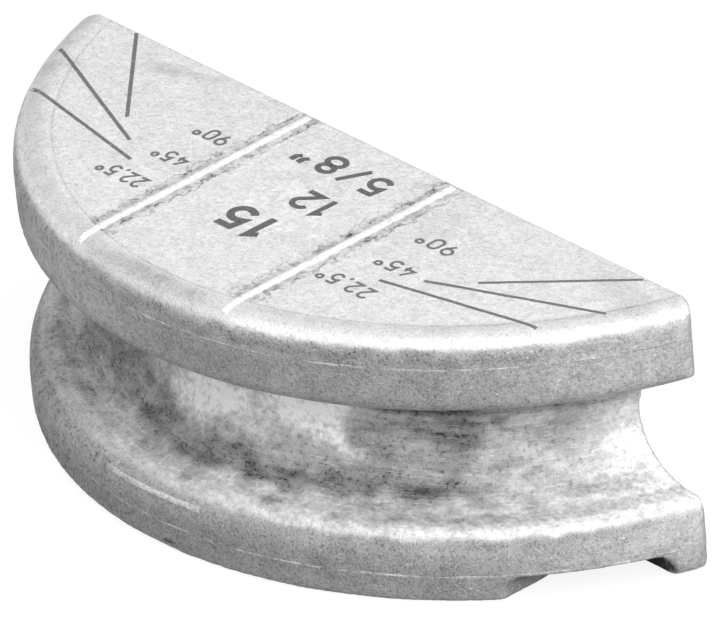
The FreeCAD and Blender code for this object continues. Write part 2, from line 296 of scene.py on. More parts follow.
# %% [markdown]
# ## Where edges are worn and where corners get painted shade
# A rubbed edge is paler, and an inner corner is darkened with painted shade. Both can be read
# from the shape: a point that stands out from the middle of its neighbours is on an edge, and one
# that lies behind it is in a corner. This is measured before the skin is made uneven.

# %% Measure where the surface is sharp


def sharpness(mesh, passes):
    """Above 0 on outer corners and below 0 in inner ones, blurred over some squares."""
    spots = points_of(mesh)
    links = edges_of(mesh)
    lean = spots - neighbour_mean(spots, links)
    bend = (lean * normals_of(mesh)).sum(axis=1, keepdims=True)
    for _ in range(passes):
        bend = 0.5 * bend + 0.5 * neighbour_mean(bend, links)
    return bend[:, 0]


bend = sharpness(skin, 4)
worn = smooth_step(bend, 0.016, 0.045)
# painted shade for inner corners: this mask darkens them in the finish
hollow_shade = smooth_step(-bend, 0.004, 0.020)
print(f"worn edges {worn.mean():.1%}, hollow corners {hollow_shade.mean():.1%} of the points")

# %% [markdown]
# ## An uneven skin
# A cast face is never quite flat. Low waves of three lengths, some hundredths of a millimetre
# high, move the points along their normals. They are real geometry, because light that grazes a
# face shows them. The top face and the back, which bears on the bender, are kept flatter.

# %% Make the skin uneven
normals = normals_of(skin)
flat_back = smooth_step(places[:, 1], BACK_Y - 0.5, BACK_Y - 0.1)
top_face = smooth_step(places[:, 2], TOP - 0.5, TOP - 0.15)
lift = 0.030 * waves(places, 5.0, 1) + 0.028 * waves(places, 2.2, 2)
lift += 0.030 * waves(places, 1.1, 3) * (1 - 0.8 * top_face)
lift *= 1 - 0.8 * flat_back
places += normals * lift[:, None]
place_points(skin, places)
print(f"the skin moved by {lift.min():.3f} to {lift.max():.3f} mm")

# %% [markdown]
# ## What the finish needs to know at each point
# The finish differs from place to place: the top face is pale and fine, the groove is streaked
# by the tubes, and the rims are grainy. Each point therefore carries its place round the arc,
# how worn it is, and how far it belongs to the top face or the groove.

# %% Zones of the casting


def store(mesh, name, values):
    """Keep one number, or three, at each point of a mesh."""
    kind = "FLOAT_VECTOR" if values.ndim == 2 else "FLOAT"
    layer = mesh.attributes.new(name, kind, "POINT")
    key = "vector" if values.ndim == 2 else "value"
    layer.data.foreach_set(key, np.ascontiguousarray(values, dtype=np.float32).ravel())


arc = arc_places(places)
along, reach, height = arc.T
in_groove = smooth_step(-np.abs(height - GROOVE_Z), -9.2, -7.6) * (1 - smooth_step(reach, 57.2, 58.4))
in_groove *= (1 - flat_back) * smooth_step(reach, 44.5, 46.0)
uneven = 0.25 * waves(places, 2.0, 8)
on_top = smooth_step(height + uneven, TOP - 1.8, TOP - 1.2)
on_lip = smooth_step(height + 0.7 * uneven, 7.8, 8.5) * (1 - smooth_step(height, 9.2, 9.9))
on_lip *= smooth_step(reach, 51, 53) * (1 - flat_back)
# The lip takes the pale tone more strongly towards the right: partly its worn finish, partly painted
# light.
on_lip *= 0.36 + 0.60 * smooth_step(along, 30, 62) + 0.10 * waves(places, 6.0, 9)
# Edges that are rubbed and also carry a painted highlight, and a ring on the top face just inside its
# rounded edge that is made darker.
rubbed_edge_and_highlight = on_top * smooth_step(reach, 57.2, 58.0) + 0.6 * on_lip * smooth_step(reach, 56.5, 57.8)
darker_inner_ring = on_top * smooth_step(reach, 54.5, 56.0) * (1 - smooth_step(reach, 57.0, 58.0))
print(f"top face {on_top.mean():.1%}, groove {in_groove.mean():.1%} of the points")

# %% [markdown]
# ## Stains, rubbed patches, painted light and painted shade
# The tubes have rubbed a bright patch in the groove, which a painted reflection makes brighter
# still, with darker and sooty places beside it. Painted light makes the rims paler to the right
# and brightens the lip, and painted shade darkens the groove under the upper flange and the rims
# below their edges. Each such place is one soft oval in a list. Positive ones make the metal
# paler and negative ones make it darker. An image would hold more, but ovals need no file and
# stay soft at any size. Waves make their outlines ragged.

# %% Stains, rubbed patches, painted light and painted shade
# Each is: along the arc, height, half length, half height, lean, strength.
WALL_STAINS_AND_PAINTED_LIGHT = [
    (-2, 15.6, 8, 3, 0.12, 1.35),  # rubbed patch in the groove, with a painted reflection on its worn metal
    (8, 16.8, 8, 3, 0.10, 0.50),
    (18, 16.8, 5.5, 2.8, -0.15, 1.15),  # its brightest end
    (23, 14, 3.2, 1.1, -0.30, 0.55),
    (-13, 15, 5, 2.2, 0, 0.55),
    (17, 19.6, 8, 2, 0, 0.95),
    (-8, 12.2, 5, 1.2, 0, -0.55),
    (16, 13.4, 5, 1.2, 0, -0.40),
    (-40, 15.5, 9, 6, 0, -0.35),
    (-29, 14.5, 24, 7, 0.04, -0.80),  # darker groove left of the patch
    (1, 10.5, 17, 1.4, 0, -0.72),  # and along the foot of the groove
    (32, 16.5, 10, 6, 0, -0.38),
    (39, 17.5, 7, 3, 0, -0.35),
    (56, 15.5, 5, 4, 0, -0.35),
    (25, 10.1, 24, 1.4, 0, -0.45),
    (30, 12.8, 12, 2.6, 0, -0.30),
    (-8, 25.7, 9, 0.6, 0, 0.45),  # a worn lower edge of the upper rim
    (40, 16.5, 3.5, 4.5, 0, -0.35),  # soot specks
    (46, 19, 1.6, 0.8, 0, -0.60),
    (47, 13.3, 3.2, 0.7, 0, -0.60),  # smudges from a tube
    (50, 12.2, 2.4, 0.5, 0, -0.45),
    (44, 20.9, 22, 1.6, 0, -0.85),  # painted shade under the upper flange
    (41, 12, 6, 2.6, 0, -0.30),
    (67, 14, 10, 6, 0, 0.60),  # painted light on the right end of the groove
    (20, 2.8, 55, 3.4, 0, -0.20),  # the foot of the lower rim
    (76, 31, 34, 4.5, 0, 0.28),  # painted light on the rims: their right ends, and left of the crown
    (78, 4, 32, 4, 0, 0.35),
    (-16, 31, 16, 4, 0, 0.30),
    (42, 9, 45, 0.8, 0, 0.58),  # painted light along the lip
    (27, 34.2, 42, 0.9, 0, -0.32),  # painted shade on the rims below their bright edges
    (36, 6.6, 48, 1.1, 0, -0.20),
    (46, 7.7, 34, 0.6, 0, -0.22),
    (24, 11.2, 20, 1.2, 0, -0.38),
    (28, 29.5, 30, 5.5, 0, -0.19),  # painted shade on the rims right of the crown
    (24, 4.3, 22, 2.6, 0, -0.12),
    # painted highlight on the rounded top edge at the far left
    (-45, 34.2, 8, 1.8, 0, 0.70),
    (63.2, 1, 2, 2.2, 0, -1.30),  # the foot's shaded side
    (3, 1.4, 0.5, 0.5, 0, -0.9),  # a notch
]
# Each is: x, distance behind the crown, half width, half depth, lean, strength.
TOP_MARKS = [
    (-37, 38, 4, 1.6, 0.3, -0.35),
    (-31, 40, 3, 1, 0.3, -0.30),
    (-46, 30, 5, 3, 0.4, -0.12),
    (10, 39.5, 2.2, 1, 0.2, -0.25),
    (0, 24, 9, 6, 0, 0.10),
    (0, 1.5, 16, 3, 0, -0.40),
    (-20, 17, 2.5, 5, 0.1, 0.15),
    (47, 38, 7, 3, -0.3, -0.22),
    (18, 33, 3, 7, 0, -0.15),
]


FULL_WITHIN = 0.45  # a mark has its full strength to this share of its size
FADED_BY = 1.25


def painted(across, upward, marks):
    """The sum of soft, slanting, oval marks at each point."""
    paint = np.zeros(len(across))
    for middle, level, half_length, half_height, lean, strength in marks:
        a = (across - middle) / half_length
        b = (upward - level - lean * (across - middle)) / half_height
        paint += strength * (1 - smooth_step(np.hypot(a, b), FULL_WITHIN, FADED_BY))
    return paint


ragged = 1.6 * waves(places, 3.0, 5) + 0.8 * waves(places, 1.3, 6)
# The walls' stains with their painted light and shade, then the top face's stains, then its edge's wear
# with a painted highlight and a darker ring inside it.
stains_and_painted_light = painted(along + ragged, height + 0.5 * ragged, WALL_STAINS_AND_PAINTED_LIGHT) * (1 - on_top) * (1 - flat_back)
stains_and_painted_light *= smooth_step(reach, 44.5, 46.0)
behind_crown = places[:, 1] - AXIS_Y + RIM
stains_and_painted_light += painted(places[:, 0] + ragged, behind_crown + 0.5 * ragged, TOP_MARKS) * on_top
stains_and_painted_light += 0.10 * rubbed_edge_and_highlight - 0.34 * darker_inner_ring
print(f"stains from {stains_and_painted_light.min():.2f} to {stains_and_painted_light.max():.2f}")

NO_RIB_NEAR = 9.0  # stands for far from both ribs, in millimetres
side = np.where(places[:, 0] > 0, 1, -1)
off_rib = np.abs(places[:, 0] - rib_middle(side, places[:, 1]))
off_rib[height < TOP - 2] = NO_RIB_NEAR
off_rib += 6 * smooth_step(reach, 54.0, 56.5)
on_pale = np.maximum(on_top, on_lip)
for name, values in (("arc_place", arc), ("worn", worn), ("hollow_shade", hollow_shade), ("off_rib", off_rib),
                     ("stains_and_painted_light", stains_and_painted_light), ("on_top", on_pale), ("in_groove", in_groove)):
    store(skin, name, values)

# %% Show the casting
skin.shade_smooth()
casting = put_in_scene("casting", skin)
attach(casting, "root")
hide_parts("former")
print("triangles:", 2 * len(skin.polygons))

# %% [markdown]
# ## Low ridges
# The two ribs and the mould lines are narrower than the skin's squares can show, so they are
# made as pieces of their own, partly sunk into the skin. Each starts as a plain rod with many
# rings, and each ring is then moved to its place along the path. A bevelled curve would be
# shorter to write, but here the height and the wear can change at every step.

# %% Draw a low ridge along a path
ROUND_STEPS = 9  # points over a ridge's round back
RING = ROUND_STEPS + 2  # and two more below it, inside the casting


def ridge_ring(spot, out, side, width, rise, sunk):
    """The points of one ring of a ridge, in metres."""
    ring = []
    for i in range(ROUND_STEPS):
        turn = math.pi * i / (ROUND_STEPS - 1)
        shift = -0.5 * width * math.cos(turn) * side + (rise * math.sin(turn)) * out
        ring.append((spot + shift) * MM)
    low = spot - sunk * out
    return ring + [(low + 0.5 * width * side) * MM, (low - 0.5 * width * side) * MM]


def rod(bm, rings):
    """A closed rod whose rings have these points. Gives the ring that each point is in."""
    last = len(rings) - 1
    bmesh.ops.create_cone(bm, cap_ends=True, segments=RING, radius1=1, radius2=1, depth=2)
    long_edges = [edge for edge in bm.edges if abs(edge.verts[0].co.z - edge.verts[1].co.z) > 1]
    bmesh.ops.subdivide_edges(bm, edges=long_edges, cuts=last - 1, use_grid_fill=True)
    ring_of = []
    for vert in bm.verts:
        step = round((vert.co.z + 1) / 2 * last)
        corner = round(math.atan2(-vert.co.x, vert.co.y) / math.tau * RING) % RING
        vert.co = rings[step][corner]
        ring_of.append(step)
    bmesh.ops.recalc_face_normals(bm, faces=bm.faces)
    if bm.calc_volume(signed=True) < 0:
        bmesh.ops.reverse_faces(bm, faces=bm.faces)
    return ring_of


def ridge(name, path, outward, sideways, width, tall, sunk, wear):
    """A closed, rounded ridge along a path of points, in millimetres.

    tall and wear hold one number for each point of the path."""
    bm = bmesh.new()
    ring_of = rod(bm, [ridge_ring(spot, out, side, width, rise, sunk)
                       for spot, out, side, rise in zip(path, outward, sideways, tall)])
    mesh = mesh_from(bm, name)
    mesh.shade_smooth()
    spots = points_of(mesh)
    store(mesh, "arc_place", arc_places(spots))
    store(mesh, "worn", np.array(wear)[ring_of])
    same_all_over = {"hollow_shade": 0, "off_rib": NO_RIB_NEAR, "stains_and_painted_light": 0,
                     "on_top": spots[:, 2].mean() > TOP - 1, "in_groove": 0}
    for title, value in same_all_over.items():
        store(mesh, title, np.full(len(spots), float(value)))
    piece = put_in_scene(name, mesh)
    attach(piece, "root")
    return piece

# %% [markdown]
# ## Ribs
# Two ribs part the top face into three fields. Each runs from the back to the rounded front
# edge, leans by about one degree, and is pale along its back, partly rubbed and partly a painted
# highlight. Its height wavers a little and rises slowly from the front.

# %% Ribs
RIB_STEP = 0.35


def rib(name, side):
    """One rib, from just inside the back face to the rounded front edge."""
    levels = [float(y) for y in np.arange(RIB_FRONT, BACK_Y - 0.45, RIB_STEP)]
    path = []
    tall = []
    for y in levels:
        waver = 0.08 * wobble(side * 3, y / 4, 0)
        x = rib_middle(side, y) + waver
        path.append(Vector((x, y, float(top_surface(math.hypot(x, y - AXIS_Y))))))
        share = 0.90 + 0.16 * wobble(side, y / 2.5, 4)
        share *= min(1, 0.15 + (y - RIB_FRONT) / 4.0)
        tall.append(RIB_HEIGHT * share)
    tall[-1] = 0.1
    up = [Vector((0, 0, 1))] * len(path)
    across = [Vector((1, 0, 0))] * len(path)
    # The rib's back is pale: rubbed, and brightened further as a painted highlight.
    wear = [0.75 + 0.4 * wobble(y / 1.5, side, 9) for y in levels]
    return ridge(name, path, up, across, RIB_WIDTH, tall, 0.3, wear)


ribs = [rib("rib_right", 1), rib("rib_left", -1)]
print("points along a rib:", len(ribs[0].data.vertices) // RING)

# %% [markdown]
# ## Mould lines
# A mould is made in parts, and a thin seam stays on the casting where two parts met. On this
# one a seam runs round each rim. It is broken, so its height and its wear are slow and quick
# waves added together, and what falls below nothing is cut off.

# %% Mould lines
LINE_STEP = 0.5
CORNER = 2.3  # rounding between the rim and the back face


def mould_line(name, level, seed):
    """A broken seam round the rim at one height."""
    back_angle = math.asin((BACK_Y - AXIS_Y - CORNER) / (RIM - CORNER))
    start, end = -math.pi - back_angle + 0.01, back_angle - 0.01
    count = int(RIM * (end - start) / LINE_STEP)
    path, out, side, tall, wear = [], [], [], [], []
    for angle in np.linspace(start, end, count):
        away = Vector((math.cos(angle), math.sin(angle), 0))
        s = BEND * (angle + math.pi / 2)
        waver = 0.10 * wobble(s / 9, seed, 0)
        path.append(Vector((0, AXIS_Y, level + waver)) + RIM * away - 0.03 * away)
        out.append(away)
        side.append(Vector((0, 0, 1)))
        strength = 0.25 + 1.2 * wobble(s / 6, seed, 3) + 0.9 * wobble(s / 1.4, seed, 7)
        strength = min(max(strength, 0), 1)
        tall.append(0.02 + 0.07 * strength)
        wear.append(0.8 * strength)
    return ridge(name, path, out, side, 0.34, tall, 0.25, wear)


seams = [mould_line(f"mould_line_{i + 1}", level, 11 * i) for i, level in enumerate(LINE_HEIGHTS)]
print("points along a mould line:", len(seams[0].data.vertices) // RING)

# %% [markdown]
# ## A flow mark on the lower rim
# Above the lower mould line, left of the crown, the metal has frozen in a short second ridge. It
# runs over the rounded lip, so its path is found by looking inwards at the casting from afar.

# %% Flow mark
surface = BVHTree.FromObject(casting, bpy.context.evaluated_depsgraph_get())


def flow_mark(name, start, end, low, high):
    """A short, thin ridge on the rim from one arc place to another, at rising height."""
    path, out, side, tall, wear = [], [], [], [], []
    count = int(abs(end - start) / 0.4)
    for i in range(count + 1):
        share = i / count
        angle = (start + (end - start) * share) / BEND - math.pi / 2
        away = Vector((math.cos(angle), math.sin(angle), 0))
        level = low + (high - low) * share
        far = Vector((0, AXIS_Y, level)) + (RIM + 10) * away
        spot, facing, _, _ = surface.ray_cast(far * MM, -away)
        path.append(spot / MM)
        out.append(facing)
        side.append((Vector((0, 0, 1)) - facing * facing.z).normalized())
        fade = math.sin(math.pi * share) ** 0.5
        tall.append(0.01 + 0.20 * fade * (0.8 + 0.4 * wobble(i / 3, start, 0)))
        wear.append(1.6 * fade)
    return ridge(name, path, out, side, 0.75, tall, 0.2, wear)


seams.append(flow_mark("flow_mark", -9.0, 7.5, 6.9, 7.15))
print("points along the flow mark:", len(seams[-1].data.vertices) // RING)

# %% [markdown]
# ## Printed marks
# The top face carries a size in large figures, and angles with their lines. They could be drawn
# in the material, but thin skins of their own keep a crisp edge at any size and can be changed
# one by one. Each starts as a flat strip, which is laid on the surface and follows its waves.
# The figures are read from the back, so their right is -x and their top is -y.

# %% Lay a flat outline on the top face
MARK_LIFT = 0.035  # how far a mark's upper side stands off the surface
MARK_SKIN = 0.12  # and how thick it is


def strip(bm, rows):
    """A flat strip of faces whose cross rows are these pairs of places."""
    last = len(rows) - 1
    made = bmesh.ops.create_grid(bm, x_segments=last, y_segments=1, size=1.0)
    for vert in made["verts"]:
        step = round((vert.co.x + 1) / 2 * last)
        vert.co = rows[step][1 if vert.co.y > 0 else 0]


def lay_down(name, bm):
    """Give flat faces a little thickness and lay them on the top face."""
    bmesh.ops.remove_doubles(bm, verts=bm.verts, dist=0.004 * MM)
    bmesh.ops.recalc_face_normals(bm, faces=bm.faces)
    if sum(face.normal.z for face in bm.faces) < 0:
        bmesh.ops.reverse_faces(bm, faces=bm.faces)
    upper = list(bm.verts)
    grown = bmesh.ops.extrude_face_region(bm, geom=list(bm.faces), use_keep_orig=True)
    lower = [part for part in grown["geom"] if isinstance(part, bmesh.types.BMVert)]
    for vert in upper + lower:
        start = Vector((vert.co.x, vert.co.y, (TOP + 5) * MM))
        found = surface.ray_cast(start, Vector((0, 0, -1)))[0]
        ground = found.z if found else TOP * MM
        vert.co.z = ground + MARK_LIFT * MM
    for vert in lower:
        vert.co.z -= MARK_SKIN * MM
    bmesh.ops.recalc_face_normals(bm, faces=bm.faces)
    piece = put_in_scene(name, mesh_from(bm, name))
    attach(piece, "root")
    return piece

# %% Angle lines
ANGLE_LINE_WIDTH = 0.50
# Each is: x and y of the outer end and of the inner end, from the arc's axis.
ANGLE_LINES = [
    (45.50, -33.86, 22.50, -38.79),
    (49.43, -26.07, 26.79, -35.29),
    (47.29, -16.93, 32.14, -31.29),
    (-46.14, -34.57, -22.86, -38.86),
    (-50.64, -25.86, -26.57, -35.71),
    (-46.14, -17.10, -31.21, -32.00),
]


def angle_line(name, ends_of_line):
    """One straight line, in short steps so that it can follow the surface."""
    x0, y0, x1, y1 = ends_of_line
    start = Vector((x0, AXIS_Y + y0, TOP)) * MM
    end = Vector((x1, AXIS_Y + y1, TOP)) * MM
    run = end - start
    side = Vector((-run.y, run.x, 0)).normalized() * (0.5 * ANGLE_LINE_WIDTH * MM)
    steps = int(run.length / (0.8 * MM))
    bm = bmesh.new()
    spots = [start + run * (i / steps) for i in range(steps + 1)]
    strip(bm, [(spot - side, spot + side) for spot in spots])
    return lay_down(name, bm)


lines = [angle_line(f"angle_line_{i + 1}", line) for i, line in enumerate(ANGLE_LINES)]
print("angle lines:", len(lines))

# %% [markdown]
# ## The shapes of the figures
# The figures have strokes of one width, like stencil lettering on drawings. Each is a path or
# two along the middle of its stroke, in a box one unit tall. A bowl or a ring is part of an
# ellipse. The paths are drawn as ribbons of the stroke's width, which are then laid down.

# %% Paths of the figures


def bowl(x, y, wide, tall, start, end):
    """Points along part of an ellipse, from one angle to another, in degrees."""
    count = max(4, int(abs(end - start) / 10))
    turns = [math.radians(start + (end - start) * i / count) for i in range(count + 1)]
    return [(x + wide * math.cos(turn), y + tall * math.sin(turn)) for turn in turns]


# Each figure is its width and its paths.
FIGURES = {
    "0": (0.55, [bowl(0.275, 0.71, 0.275, 0.29, 0, 180) + bowl(0.275, 0.29, 0.275, 0.29, 180, 360)
                 + [(0.55, 0.71)]]),
    "1": (0.32, [[(0.02, 0.80), (0.12, 0.88), (0.24, 1.0), (0.24, -0.08)]]),
    "2": (0.56, [bowl(0.28, 0.73, 0.27, 0.27, 165, -30) + [(0.02, 0), (0.58, 0)]]),
    "4": (0.60, [[(0.37, 1), (0.01, 0.26), (0.62, 0.26)], [(0.46, 0.52), (0.46, 0)]]),
    "5": (0.56, [[(0.52, 1), (0.09, 1), (0.04, 0.53)] + bowl(0.27, 0.315, 0.28, 0.315, 128, -148)]),
    "8": (0.56, [bowl(0.28, 0.265, 0.28, 0.265, 0, 360), bowl(0.28, 0.765, 0.24, 0.235, 0, 360)]),
    "9": (0.55, [bowl(0.275, 0.70, 0.275, 0.30, 0, 360), [(0.55, 0.68), (0.50, 0.47), (0.22, 0)]]),
    ",": (0.10, [[(0.09, 0.05), (0.01, -0.17)]]),
    "/": (0.44, [[(0, -0.06), (0.44, 1.06)]]),
    "°": (0.36, [bowl(0.18, 0.86, 0.18, 0.18, 0, 360)]),
    "”": (0.46, [[(0.07, 1.03), (0.17, 1.01), (0.17, 0.88), (0.05, 0.70)],
                 [(0.33, 1.03), (0.43, 1.01), (0.43, 0.88), (0.31, 0.70)]]),
}
FIGURE_GAP = 0.34


def in_short_steps(path, longest):
    """The same path with extra points, so that no step is longer than this."""
    spots = [path[0]]
    for start, end in zip(path, path[1:]):
        count = max(1, math.ceil((end - start).length / longest))
        spots += [start + (end - start) * (i / count) for i in range(1, count + 1)]
    return spots


def ribbon(bm, path, width):
    """A flat band of this width along a path, in metres."""
    closed = (path[0] - path[-1]).length < 0.001 * MM
    if closed:
        path = path[:-1]
    rows = []
    for i, spot in enumerate(path):
        before = path[i - 1] if i or closed else spot
        after = path[(i + 1) % len(path)] if closed or i < len(path) - 1 else spot
        first = (spot - before).normalized()
        second = (after - spot).normalized()
        run = (first + second).normalized()
        grow = 1 / max(0.45, (run.dot(first) if first.length else run.dot(second)))
        side = Vector((-run.y, run.x, 0)) * (0.5 * width * grow)
        rows.append((spot - side, spot + side))
    strip(bm, rows + rows[:1] if closed else rows)


def figures(name, text, start_x, end_x, base_y, tall, stroke):
    """A line of figures that starts and ends at these places, this tall and with this stroke."""
    total = sum(FIGURES[letter][0] for letter in text) + FIGURE_GAP * (len(text) - 1)
    stretch = (start_x - end_x - stroke) / total
    bm = bmesh.new()
    pen = 0.0
    for letter in text:
        wide, paths = FIGURES[letter]
        for path in paths:
            spots = [Vector((start_x - 0.5 * stroke - (pen + u) * stretch,
                             AXIS_Y + base_y - 0.5 * stroke - v * (tall - stroke), TOP)) * MM
                     for u, v in path]
            ribbon(bm, in_short_steps(spots, 0.8 * MM), stroke * MM)
        pen += wide + FIGURE_GAP
    return lay_down(name, bm)

# %% [markdown]
# ## Place the figures
# Each line of figures has a start and an end across the casting, a foot line counted from the
# arc's axis, a height and a stroke. The large figures have a heavier stroke than the angles.

# %% Size and angle figures
size_marks = [
    figures("size_mm", "15", 3.68, -4.33, -37.0, 5.55, 1.05),
    figures("size_code", "12", 5.70, -0.55, -29.2, 4.5, 0.80),
    figures("size_inch", "5/8”", 6.80, -8.60, -21.25, 4.5, 0.80),
]
# Each is: the angle, its foot line and its height.
ANGLES = [("22,5°", -40.75, 2.65), ("45°", -33.9, 2.6), ("90°", -26.9, 2.65)]
# Each is: the side, where its figures start, and where each angle's figures end.
ANGLE_SIDES = [("right", 24.6, (15.6, 18.6, 18.4)), ("left", -16.9, (-24.7, -22.2, -22.3))]
ANGLE_STROKE = 0.40

angle_marks = []
for side_name, start, stops in ANGLE_SIDES:
    for (angle, foot_line, tall), stop in zip(ANGLES, stops):
        title = f"angle_{angle[:2]}_{side_name}"
        angle_marks.append(figures(title, angle, start, stop, foot_line, tall, ANGLE_STROKE))
print("lines of figures:", len(size_marks) + len(angle_marks))

# %% [markdown]
# ## Building blocks of the finish
# The finish is worked out by small sums on masks between 0 and 1. A few short functions write
# those sums as nodes, so that each block below reads as one line for each thought.

# %% Nodes as short sums


def join(tree, value, socket):
    """Feed a socket from another socket or set it to a plain number."""
    if isinstance(value, bpy.types.NodeSocket):
        tree.links.new(value, socket)
    else:
        socket.default_value = value


def sum_node(tree, operation, first, second=0.0, clamp=False):
    """One sum on two values."""
    node = tree.nodes.new("ShaderNodeMath")
    node.operation = operation
    node.use_clamp = clamp
    join(tree, first, node.inputs[0])
    join(tree, second, node.inputs[1])
    return node.outputs[0]


def times(tree, first, second):
    """Two values multiplied."""
    return sum_node(tree, "MULTIPLY", first, second)


def apart(tree, first, second):
    """How far two values are apart."""
    return sum_node(tree, "ABSOLUTE", sum_node(tree, "SUBTRACT", first, second))


def slope(tree, value, start, end, low=0.0, high=1.0, soft=False):
    """Move a value from one range into another, and hold it there."""
    node = tree.nodes.new("ShaderNodeMapRange")
    node.interpolation_type = "SMOOTHSTEP" if soft else "LINEAR"
    join(tree, value, node.inputs["Value"])
    join(tree, start, node.inputs["From Min"])
    join(tree, end, node.inputs["From Max"])
    node.inputs["To Min"].default_value = low
    node.inputs["To Max"].default_value = high
    return node.outputs["Result"]


def stretched(tree, vector, x, y, z):
    """A place with each of its three numbers multiplied."""
    node = tree.nodes.new("ShaderNodeVectorMath")
    node.operation = "MULTIPLY"
    tree.links.new(vector, node.inputs[0])
    node.inputs[1].default_value = (x, y, z)
    return node.outputs[0]


def place_in_mm(tree):
    """Where a point of the part is, in millimetres."""
    node = tree.nodes.new("ShaderNodeTexCoord")
    return stretched(tree, node.outputs["Object"], 1 / MM, 1 / MM, 1 / MM)


def cloud(tree, vector, per_mm, detail=3.0, rough=0.6):
    """A cloudy pattern with this many clouds in a millimetre."""
    node = tree.nodes.new("ShaderNodeTexNoise")
    tree.links.new(vector, node.inputs["Vector"])
    join(tree, per_mm, node.inputs["Scale"])
    node.inputs["Detail"].default_value = detail
    node.inputs["Roughness"].default_value = rough
    return node.outputs[0]


def point_data(tree, name, key="Fac"):
    """What the points of a mesh carry under this name."""
    node = tree.nodes.new("ShaderNodeAttribute")
    node.attribute_name = name
    return node.outputs[key]


def tint(tree, share, dark, pale):
    """A colour between a dark one and a pale one."""
    node = tree.nodes.new("ShaderNodeMix")
    node.data_type = "RGBA"
    join(tree, share, node.inputs[0])
    node.inputs[6].default_value = (*dark, 1)
    node.inputs[7].default_value = (*pale, 1)
    return node.outputs[2]


def new_material(name):
    """A new material, its tree of nodes and its shader."""
    material = bpy.data.materials.new(name)
    material.use_nodes = True
    return material, material.node_tree, material.node_tree.nodes["Principled BSDF"]


def block(name, takes, gives):
    """A new node group with named inputs and outputs."""
    tree = bpy.data.node_groups.new(name, "ShaderNodeTree")
    for title, kind, start in takes:
        socket = tree.interface.new_socket(title, in_out="INPUT", socket_type=kind)
        if start is not None:
            socket.default_value = start
    for title, kind in gives:
        tree.interface.new_socket(title, in_out="OUTPUT", socket_type=kind)
    source = tree.nodes.new("NodeGroupInput")
    result = tree.nodes.new("NodeGroupOutput")
    return tree, source.outputs, result.inputs


def use(tree, group, **values):
    """Put a block into a tree. Underscores in the names stand for spaces."""
    node = tree.nodes.new("ShaderNodeGroup")
    node.node_tree = group
    for title, value in values.items():
        join(tree, value, node.inputs[title.replace("_", " ")])
    return node.outputs

# %% [markdown]
# ## Sand grain
# A sand mould prints its grains on the metal. Fine clouds give single grains, coarser clouds
# give small lumps, and broad ones give the mottling over some millimetres. Three clouds of one
# kind at three sizes are enough, and every surface of the casting can share them.

# %% Sand grain block
FLOAT, VECTOR = "NodeSocketFloat", "NodeSocketVector"

sand_grain, given, made = block(
    "sand grain",
    [("Place", VECTOR, None), ("Grains per mm", FLOAT, 3.2)],
    [("Fine", FLOAT), ("Lumps", FLOAT), ("Mottle", FLOAT)])
fine = cloud(sand_grain, given["Place"], given["Grains per mm"], 3.0, 0.7)
join(sand_grain, slope(sand_grain, fine, 0.30, 0.70), made["Fine"])
lumps = cloud(sand_grain, given["Place"], 1.3, 2.0, 0.6)
join(sand_grain, slope(sand_grain, lumps, 0.32, 0.68), made["Lumps"])
mottle = cloud(sand_grain, given["Place"], 0.33, 4.0, 0.6)
join(sand_grain, slope(sand_grain, mottle, 0.30, 0.70), made["Mottle"])
print("sand grain:", len(sand_grain.nodes), "nodes")

# %% [markdown]
# ## Specks and nicks
# Dust and soot sit in pores as dark specks, and knocks leave small bright nicks. Both are the
# peaks of a cloudy pattern: only what rises above a level shows. One block makes both, because
# only the size and the amount differ.

# %% Speck block
specks, given, made = block(
    "specks",
    [("Place", VECTOR, None), ("Per mm", FLOAT, 2.0), ("Level", FLOAT, 0.62)],
    [("Specks", FLOAT)])
peaks = cloud(specks, given["Place"], given["Per mm"], 2.0, 0.55)
above = sum_node(specks, "SUBTRACT", peaks, given["Level"])
join(specks, slope(specks, above, -0.02, 0.08, soft=True), made["Specks"])
print("specks:", len(specks.nodes), "nodes")

# %% [markdown]
# ## Rubbing along the arc
# Tubes slide along the groove, so its scratches and streaks follow the arc. The pattern is
# worked out in arc places, stretched along the arc and narrow across it.

# %% Streak block
streaks, given, made = block(
    "streaks",
    [("Arc place", VECTOR, None)],
    [("Broad", FLOAT), ("Scratches", FLOAT), ("Soot lines", FLOAT)])
broad = cloud(streaks, stretched(streaks, given["Arc place"], 0.12, 0.5, 0.55), 1.0, 4.0, 0.65)
join(streaks, slope(streaks, broad, 0.32, 0.68), made["Broad"])
thin = cloud(streaks, stretched(streaks, given["Arc place"], 0.35, 3.0, 5.0), 1.0, 2.0, 0.6)
join(streaks, slope(streaks, thin, 0.60, 0.68), made["Scratches"])
shifted = streaks.nodes.new("ShaderNodeVectorMath")
shifted.operation = "ADD"
join(streaks, stretched(streaks, given["Arc place"], 0.45, 3.0, 3.6), shifted.inputs[0])
shifted.inputs[1].default_value = (40, 7, 19)
soot = cloud(streaks, shifted.outputs[0], 1.0, 3.0, 0.6)
join(streaks, slope(streaks, soot, 0.60, 0.70), made["Soot lines"])
print("streaks:", len(streaks.nodes), "nodes")

# %% [markdown]
# ## Fine cracks beside the ribs
# Thin, dark, broken lines run along both ribs, a little way off. They are where the skin of the
# casting puckered. The distance from the rib is bent by a cloudy pattern, and what falls near
# a chosen distance is dark. A second pattern breaks the line into pieces.

# %% Crack block
CRACK_PLACE = 1.9  # from the middle of a rib
CORNER_PLACE = 1.05  # where the side of a rib meets the top face

